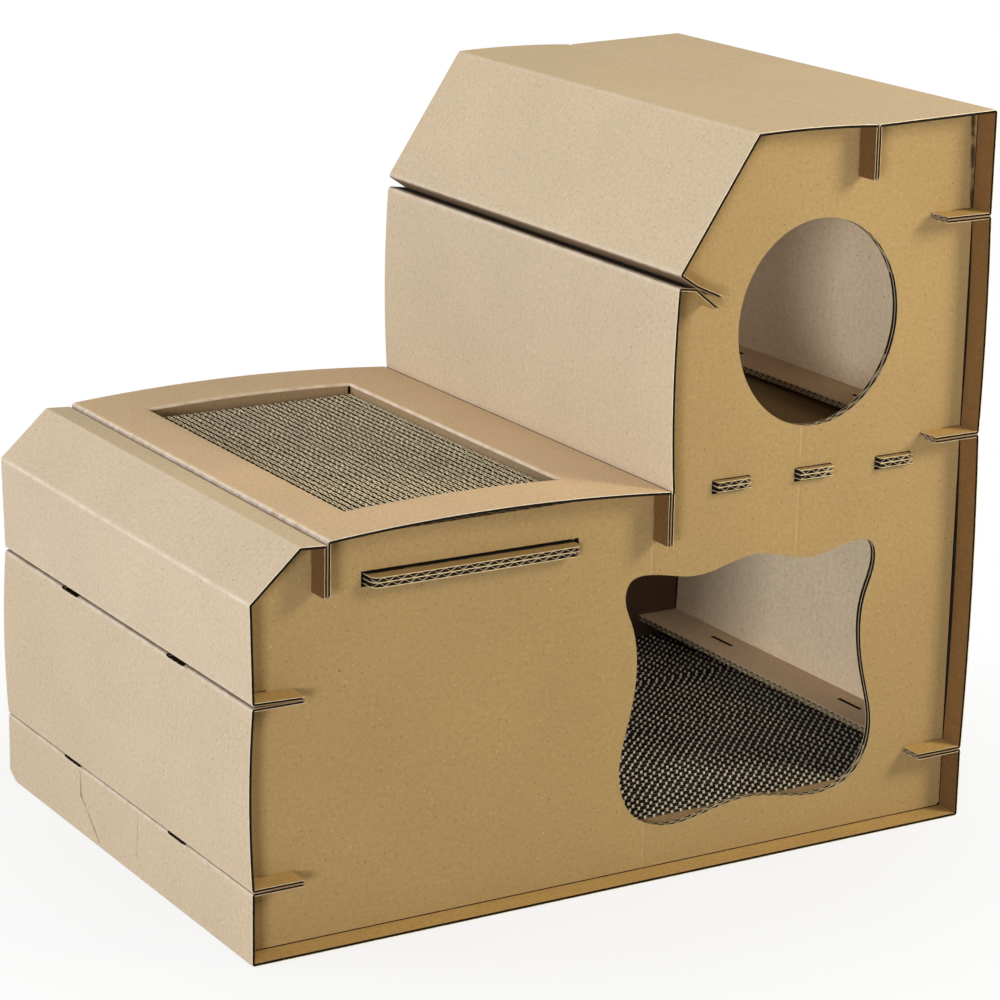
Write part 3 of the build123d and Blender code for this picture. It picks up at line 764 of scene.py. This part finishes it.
rear = lap(Skin([flange(J12, OUT), J12, (LENGTH, TOWER), J10, flange(J10, DOWN)], [0] * 4, [0.3] * 3))
rear.build("rear_top_sheet", "rear_top", BACK_MATS)

back_upper = lap(Skin([flange(J13, OUT), J13, J12, flange(J12, OUT)], [0, BACK_CROWN, 0], [0.3] * 2))
slits(back_upper, SLIT_PLACE)
back_upper.build("back_upper_sheet", "back_upper", BACK_MATS)

back_lower = lap(Skin([flange(J14, OUT), J14, J13, flange(J13, OUT)], [0, WALL_CROWN, 0], [0.3] * 2))
slits(back_lower, SLIT_PLACE)
slits(back_lower, back_lower.end - SLIT_PLACE)
back_lower.build("back_lower_sheet", "back_lower", BACK_MATS)


# Double-wall boards, with their outlines from the CAD

def signed_area(p):
    return 0.5 * np.sum(p[:, 0] * np.roll(p[:, 1], -1) - np.roll(p[:, 0], -1) * p[:, 1])


def face_loops(name, axis, level):
    """Loops of the flat face of a CAD node at a level, in millimetres, each with its region on the left."""
    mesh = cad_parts[name].data
    keys, ids = {}, []
    for p in millimetres([v.co for v in mesh.vertices]):
        ids.append(keys.setdefault(tuple(np.round(p, 2)), len(keys)))
    spot = np.array(list(keys))
    mesh.calc_loop_triangles()
    edges = set()
    for tri in mesh.loop_triangles:
        v = [ids[k] for k in tri.vertices]
        if len(set(v)) == 3 and all(abs(spot[k, axis] - level) < 0.02 for k in v):
            for a, c in zip(v, v[1:] + v[:1]):
                if (c, a) in edges:
                    edges.discard((c, a))
                else:
                    edges.add((a, c))
    keep = [k for k in range(3) if k != axis]
    loops = [spot[loop][:, keep] for loop in chains(dict(edges))]
    outline = max(map(signed_area, loops), key=abs)
    return [p[::-1] for p in loops] if outline < 0 else loops


def inside(points, loops):
    """Even-odd test of points against loops."""
    hit = np.zeros(len(points), bool)
    for p in loops:
        for a, c in zip(p, np.roll(p, -1, 0)):
            cross = (a[1] > points[:, 1]) != (c[1] > points[:, 1])
            with np.errstate(divide="ignore", invalid="ignore"):
                x = a[0] + (points[:, 1] - a[1]) * (c[0] - a[0]) / (c[1] - a[1])
            hit ^= cross & (points[:, 0] < x)
    return hit


def triangles(loops, extra_points):
    """Triangles of the region within loops, through extra points, and the vertices of each loop."""
    pts, edges, spans = [], [], []
    for p in loops:
        start, n = len(pts), len(p)
        pts.extend(map(tuple, p))
        edges.extend((start + i, start + (i + 1) % n) for i in range(n))
        spans.append((start, n))
    if len(extra_points):
        extra_points = np.asarray(extra_points, float)
        every = np.array(pts)
        clear = np.array([np.min(np.hypot(*(every - e).T)) > 2.5 for e in extra_points])
        pts.extend(map(tuple, extra_points[inside(extra_points, loops) & clear]))
    out = geometry.delaunay_2d_cdt([Vector(p) for p in pts], edges, [], 0, 1e-4, True)
    verts = np.array([tuple(v) for v in out[0]])
    first = {o: k for k, orig in enumerate(out[3]) for o in orig}
    tris = np.array([f for f in out[2] if len(f) == 3])
    borders = [(start, np.array([first[start + i] for i in range(n)])) for start, n in spans]
    return verts, tris[inside(verts[tris].mean(1), loops)], borders


def board(name, cad, loops, place, thickness, materials, extra_points=(), flip=False):
    """A flat double-wall board with cut edges all round, its flutes across the first axis."""
    verts, tris, borders = triangles(loops, extra_points)
    b = Build()
    outer, inner = b.row(place, verts, 0.0), b.row(place, verts, thickness)
    for f in tris:
        f = f[::-1] if flip else f
        b.face(outer[f], OUTER)
        b.face(inner[f[::-1]], INNER)
    for start, ids in borders:
        narrow = np.ptp(verts[ids], axis=0).min() < 15
        edge = slot_edge(thickness) if narrow else twin_edge(thickness)
        cut_edge(b, place, verts[ids], outer[ids], inner[ids], edge, 0, phase=start * 0.7, flip=not flip)
    return b.piece(name, cad, materials, "panel_board")


# Creases of the near panel: x, lower and upper end, and depth
CREASES = [(327.0, 1.0, 37.0, 0.35), (327.0, 225.0, 250.0, 0.35), (452.5, 225.0, 275.0, 0.45),
           (453.0, 291.0, 321.0, 0.45)]
CREASE_HALF, CREASE_FADE = 1.6, 12.0
PANEL_COLOUR = (0.385, 0.266, 0.121, 1)
# Painted highlight and painted shade beside each crease, a bright and a dull line: offset, width, strength
# and tint
CREASE_LIGHT_AND_SHADE = [
    (-0.7, 1.3, 0.55, shade(PANEL_COLOUR, 1.2, 0.06)),
    (1.6, 2.2, 0.35, shade(PANEL_COLOUR, 0.72)),
]
# Painted shade: a dark line for the gap between the near panel and the rear top; the shape has no gap there
BACK_GAP_SHADE = ((593.0, 534.0), (596.8, 466.0), 3.0, 1.8, (0.05, 0.03, 0.015, 1))
panel_light_shade_marks = [((x + off, low), (x + off, high), width, strength, tint)
               for x, low, high, _ in CREASES for off, width, strength, tint in CREASE_LIGHT_AND_SHADE]
# Painted shade: dark lines on the shelves where their tabs pass through the panels' slots
SLOT_SHADE = (0.01, 0.007, 0.004, 1)
slot_shade_marks = [((0, y), (LENGTH, y), 4.4, 4.0, SLOT_SHADE) for y in (-PANEL_MIDDLE, PANEL_MIDDLE)]


def panel_kraft(name, marks=()):
    return kraft(name, PANEL_COLOUR, across=0, stripes=0.5, marks=marks)


def crease(points):
    """Depth of the dents along the panel's creases."""
    d = np.zeros(len(points))
    for x, low, high, depth in CREASES:
        rise, fall = (points[:, 1] - low) / CREASE_FADE, (high - points[:, 1]) / CREASE_FADE
        ends = np.clip(rise, 0, 1) * np.clip(fall, 0, 1)
        d += depth * ends * np.exp(-((points[:, 0] - x) / CREASE_HALF) ** 2)
    return d


def near_place(q, t):
    q, t = np.asarray(q, float), np.asarray(t, float)
    return np.column_stack([q[:, 0], -PANEL_OUT + t + crease(q) * (t < 1), q[:, 1]])


def far_place(q, t):
    q = np.asarray(q, float)
    return np.column_stack([q[:, 0], PANEL_OUT - np.asarray(t, float), q[:, 1]])


BOARD_MATS = [
    kraft("panel_inner_liner", (0.13, 0.08, 0.048, 1), across=0),
    raw_paper("panel_cut_liner", (0.62, 0.48, 0.29, 1), (0.84, 0.70, 0.47, 1)),
    SKIN_MATS[PAINTED_SHADE],
    raw_paper("panel_fluted_sheet", (0.38, 0.29, 0.18, 1), (0.60, 0.48, 0.33, 1)),
]
mesh_points = [(x, z) for x in np.arange(20, 590, 24.0) for z in np.arange(16, 535, 24.0)]
crease_points = [(x + dx, z) for x, low, high, _ in CREASES for dx in (-6, -3, -1.5, 0, 1.5, 3, 6)
                 for z in np.arange(low + 6, high, 7.0)]
near_mats = [panel_kraft("panel_liner", panel_light_shade_marks + [BACK_GAP_SHADE])] + BOARD_MATS
board("near_panel", "near_side_panel", face_loops("near_side_panel", 1, -PANEL_OUT), near_place, DOUBLE,
      near_mats, mesh_points + crease_points)
far_mats = [panel_kraft("panel_plain_liner")] + BOARD_MATS
board("far_panel", "far_side_panel", face_loops("far_side_panel", 1, PANEL_OUT), far_place, DOUBLE,
      far_mats, mesh_points, flip=True)


def level_place(top):
    """Places of a level board that lies under a height."""
    return lambda q, t: np.column_stack([np.asarray(q), top - np.asarray(t)])


shelf_mats = [panel_kraft("shelf_liner", slot_shade_marks)] + BOARD_MATS
for piece, cad, top in (("shelf_board", "deck_shelf", SHELF_BOTTOM + SHELF),
                        ("floor_board", "tower_floor", FLOOR_BOTTOM + SHELF)):
    board(piece, cad, face_loops(cad, 2, top), level_place(top), SHELF, shelf_mats)


# Scratch pads

# The fade is extra painted shade at the foot of each pad wall
PAD_DEPTH, PLY, PAD_SHADE_FADE, PAD_INSET, PAD_UNEVEN = 2.4, 5.68, 0.5, 0.3, 0.4
DECK_GAP, DECK_BAND, DECK_BULGE, DECK_TORN = 2.7, 1.3, 0.4, 0.12
FLOOR_SHOWN, FLOOR_DRIFT, FLOOR_DRIFT_SPREAD = 280.0, 0.88, 0.6
FLOOR_LINER, FLOOR_LINER_INSET, FLOOR_WAVE, FLOOR_WAVE_INSET = 0.3, 0.2, 1.6, 0.6
PAPER, CORE_SHADE, SIDE = range(3)


def pad_core_box(b, lo, hi):
    """The pad below its plies: a top painted black as shade, and plain sides."""
    around = ((lo[0], lo[1]), (hi[0], lo[1]), (hi[0], hi[1]), (lo[0], hi[1]))
    corners = [(x, y, z) for z in (lo[2], hi[2] - PAD_DEPTH) for x, y in around]
    ids = b.add(corners, corners, 1.0)
    for f in ((3, 2, 1, 0), (0, 1, 5, 4), (1, 2, 6, 5), (2, 3, 7, 6), (3, 0, 4, 7)):
        b.face([ids[k] for k in f], SIDE)
    b.face(ids[4:], CORE_SHADE)


def pad(name, cad, along, walls_of, papers):
    """Plies of corrugated board on edge: walls of cut paper that darken with depth as painted shade, over a
    core painted black as shade.
    """
    lo, hi = (millimetres(c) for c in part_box(cad))
    across, top = 1 - along, hi[2]
    b = Build()
    pad_core_box(b, lo, hi)
    count = round((hi[across] - lo[across]) / PLY)
    pitch = (hi[across] - lo[across]) / count
    rng = np.random.default_rng(7)
    ends = lo[along] + PAD_INSET, hi[along] - PAD_INSET
    for line, width, worn, sides in walls_of(lo[across], pitch, count, *ends, rng):
        d = np.gradient(line, axis=0)
        n = np.column_stack([-d[:, 1], d[:, 0]])
        n /= np.linalg.norm(n, axis=1, keepdims=True)
        height = top - rng.uniform(0.0, PAD_UNEVEN, len(line))
        foot, head = (top - PAD_DEPTH, worn + PAD_SHADE_FADE), (height, worn)
        rows = []
        for side, (z, dark) in ((1, foot), (1, head), (-1, head), (-1, foot)):
            q = line + n * side * width / 2
            q[:, 1] = np.clip(q[:, 1], lo[across], hi[across])
            xyz = np.empty((len(q), 3))
            xyz[:, along], xyz[:, across], xyz[:, 2] = q[:, 0], q[:, 1], z
            rows.append(b.add(xyz, xyz, dark))
        outermost = line[:, 1].max() > hi[across] - 1, line[:, 1].min() < lo[across] + 1
        mats = (SIDE if outermost[0] else sides, PAPER, SIDE if outermost[1] else sides)
        for one, other, mat in zip(rows, rows[1:], mats):
            b.strip(one, other, mat, closed=False, flip=along == 0)
    return b.piece(name, cad, papers, "pad_board", angle=50)


def deck_walls(start, pitch, count, first, last, rng):
    """Two torn bands a ply; next to the plies' gap each band bulges at the flutes."""
    spots = np.arange(first, last, FLUTE / 6)
    for k in range(count):
        for side, y in ((-1, DECK_GAP / 2), (1, pitch - DECK_GAP / 2)):
            turn = 2 * np.pi * spots / FLUTE + rng.uniform(0, 2 * np.pi)
            torn = rng.normal(0, DECK_TORN, len(spots))
            bulge = np.clip(np.cos(turn), 0, 1) ** 4 * DECK_BULGE * DECK_GAP + torn
            middle = start + pitch * k + y - side * DECK_BAND / 2 + side * bulge
            # The bands' sides are painted black as the shade in the cells
            yield np.column_stack([spots, middle]), DECK_BAND, 0.0, CORE_SHADE


def floor_walls(start, pitch, count, first, last, rng):
    """Waved sheets between thin liners painted half in shade; the waves are pale on the flanks that face one
    way and painted darker elsewhere, as painted light and shade.
    """
    spots = np.arange(first, last, FLUTE * 2)
    coarse = np.arange(first, FLOOR_SHOWN, FLUTE / 2)
    steps = np.concatenate([coarse, np.arange(coarse[-1] + FLUTE / 6, last, FLUTE / 6)])
    drift = 0.0
    for k in range(count):
        y = start + pitch * k
        for edge in (FLOOR_LINER_INSET, pitch - FLOOR_LINER_INSET):
            yield np.column_stack([spots, 0 * spots + y + edge]), FLOOR_LINER, 0.5, PAPER
        drift += FLOOR_DRIFT + rng.normal(0, FLOOR_DRIFT_SPREAD)
        turn = 2 * np.pi * steps / FLUTE + drift
        line = np.column_stack([steps, y + pitch / 2 + np.sin(turn) * (pitch / 2 - FLOOR_WAVE_INSET)])
        yield line, FLOOR_WAVE, 0.6 * np.clip(0.5 - 1.5 * np.cos(turn), 0, 1), PAPER


# Black that the pad papers darken to with depth: painted shade in the cells
PAD_SHADE_BLACK = (0.006, 0.004, 0.003, 1)
deck_paper = raw_paper("deck_pad_paper", (0.52, 0.44, 0.30, 1), (0.97, 0.88, 0.69, 1), 350, PAD_SHADE_BLACK, 0.12)
floor_paper = raw_paper("floor_pad_paper", (0.70, 0.61, 0.47, 1), (0.97, 0.91, 0.78, 1), 350, PAD_SHADE_BLACK, 0.6)
pad_core_shade = raw_paper("pad_depth_shade", (0.008, 0.006, 0.004, 1), (0.02, 0.014, 0.01, 1), 250)
pad_side = kraft("pad_side_liner", (0.24, 0.155, 0.08, 1), fold_light=0.0)
pad("deck_pad_plies", "deck_pad", 1, deck_walls, [deck_paper, pad_core_shade, pad_side])
pad("floor_pad_plies", "floor_pad", 0, floor_walls, [floor_paper, pad_core_shade, pad_side])


# Floor, light and camera

WHITE = (1, 1, 1, 1)
FLOOR_SIZE = 40.0
SHADOW_RADIUS, WHITE_RADIUS, SHADOW_SHARE = 0.30, 0.62, 0.84
AMBIENT_COLOUR, AMBIENT = (1.0, 0.94, 0.82, 1), 0.10


def plane(name, size):
    mesh = bpy.data.meshes.new(name)
    corners = [(-size, -size, 0), (size, -size, 0), (size, size, 0), (-size, size, 0)]
    mesh.from_pydata(corners, [], [(0, 1, 2, 3)])
    obj = bpy.data.objects.new(name, mesh)
    bpy.context.scene.collection.objects.link(obj)
    return obj


def white_floor(name):
    """Pale paper that the camera sees as white, all white away from the part and with its shadow near it."""
    m, t, bsdf = material(name)
    spot = node(t, "ShaderNodeTexCoord").outputs["Object"]
    finish(t, bsdf, ramp(t, noise(t, spot, 3.0, 2), (0.3, 0.68), (0.7, 0.72)), 0.9, 0.1)
    reach = vector_node(t, "LENGTH", [(0, spot)], "Value")
    share = map_range(t, reach, SHADOW_RADIUS, WHITE_RADIUS, SHADOW_SHARE, 1.0)
    seen = node(t, "ShaderNodeLightPath").outputs["Is Camera Ray"]
    glow = node(t, "ShaderNodeEmission", i_Color=WHITE, i_Strength=1.0).outputs[0]
    amount = math_node(t, "MULTIPLY", seen, share)
    blend = node(t, "ShaderNodeMixShader", [(0, amount), (1, bsdf.outputs[0]), (2, glow)])
    t.links.new(blend.outputs[0], t.nodes["Material Output"].inputs["Surface"])
    return m


def studio_world(name):
    """A weak warm light from all round, behind a background that the camera sees as white."""
    world = bpy.data.worlds.new(name)
    bpy.context.scene.world = world
    world.use_nodes = True
    t = world.node_tree
    ambient = t.nodes["Background"]
    ambient.inputs["Color"].default_value = AMBIENT_COLOUR
    ambient.inputs["Strength"].default_value = AMBIENT
    white = node(t, "ShaderNodeBackground", i_Color=WHITE, i_Strength=1.0)
    ray = node(t, "ShaderNodeLightPath")
    pick = math_node(t, "MAXIMUM", ray.outputs["Is Camera Ray"], ray.outputs["Is Glossy Ray"])
    both = node(t, "ShaderNodeMixShader", [(0, pick), (1, ambient.outputs[0]), (2, white.outputs[0])])
    t.links.new(both.outputs[0], t.nodes["World Output"].inputs["Surface"])


floor = plane("floor", FLOOR_SIZE)
floor.data.materials.append(white_floor("floor_paper"))
studio_world("studio")


def lamp(name, kind, place, aim, power, colour):
    """A lamp at a place, turned to what it lights and hidden from the camera."""
    light = bpy.data.lights.new(name, kind)
    light.energy, light.color = power, colour
    obj = bpy.data.objects.new(name, light)
    bpy.context.scene.collection.objects.link(obj)
    obj.visible_camera = False
    obj.location = place
    obj.rotation_euler = (Vector(aim) - Vector(place)).to_track_quat("-Z", "Y").to_euler()
    return light


# Square lamps: place and aim in metres, size, watts and colour; two small ones stand inside the rooms
SOFTBOXES = {
    "camera_left": ((-4.1, -4.2, 0.85), (0.1, -0.1, 0.25), 1.2, 180, (1.0, 1.0, 0.98)),
    "front_far": ((-2.9, 1.3, 1.8), (-0.1, 0.0, 0.25), 1.6, 50, (0.97, 1.0, 1.08)),
    "top": ((0.15, 0.1, 2.6), (0.05, 0.0, 0.3), 1.6, 17, (1.0, 0.88, 0.62)),
    "right": ((1.15, -1.25, 1.15), (0.15, -0.19, 0.4), 0.6, 20, (1.0, 0.89, 0.63)),
    "room": ((0.05, 0.05, 0.24), (0.06, 0.02, 0.0), 0.12, 0.18, (1.0, 0.97, 0.92)),
    "upper_room": ((0.12, 0.125, 0.40), (0.30, 0.08, 0.38), 0.06, 0.05, (1.0, 0.95, 0.90)),
}
for name, (place, aim, size, power, colour) in SOFTBOXES.items():
    light = lamp(name, "AREA", place, aim, power, colour)
    light.shape, light.size, light.size_y = "RECTANGLE", size, size
tower = lamp("tower", "SPOT", (0.4, -3.3, 0.75), (0.21, -0.18, 0.40), 58, (1.0, 0.99, 0.95))
tower.spot_size, tower.spot_blend, tower.shadow_soft_size = math.radians(9), 1.0, 0.12

# Camera fitted to the photograph's frame: angles, focal length in its pixels, and place in millimetres
AZ, EL, TILT = math.radians(-31.211), math.radians(15.961), math.radians(-1.100)
FOCAL_PIXELS, PHOTO_PIXELS, SENSOR = 3461.3, 1000.0, 36.0
EYE = (-979.44, -1927.57 - HALF_WIDTH, 947.99)


def photo_camera():
    back = Vector((math.sin(AZ) * math.cos(EL), -math.cos(AZ) * math.cos(EL), math.sin(EL)))
    level_right = (-back).cross(Vector((0, 0, 1))).normalized()
    level_down = (-back).cross(level_right)
    right = level_right * math.cos(TILT) + level_down * math.sin(TILT)
    down = level_down * math.cos(TILT) - level_right * math.sin(TILT)
    lens = bpy.data.cameras.new("camera")
    lens.sensor_fit, lens.sensor_width, lens.sensor_height = "HORIZONTAL", SENSOR, SENSOR
    lens.lens = FOCAL_PIXELS * SENSOR / PHOTO_PIXELS
    lens.clip_start, lens.clip_end = 0.05, 100.0
    camera = bpy.data.objects.new("camera", lens)
    bpy.context.scene.collection.objects.link(camera)
    eye = Vector(metres(EYE))
    axes = Matrix((right, -down, back)).transposed()
    camera.matrix_world = Matrix.Translation(eye) @ axes.to_4x4()
    return camera


bpy.context.scene.camera = photo_camera()
bpy.context.scene.view_settings.view_transform = "Standard"
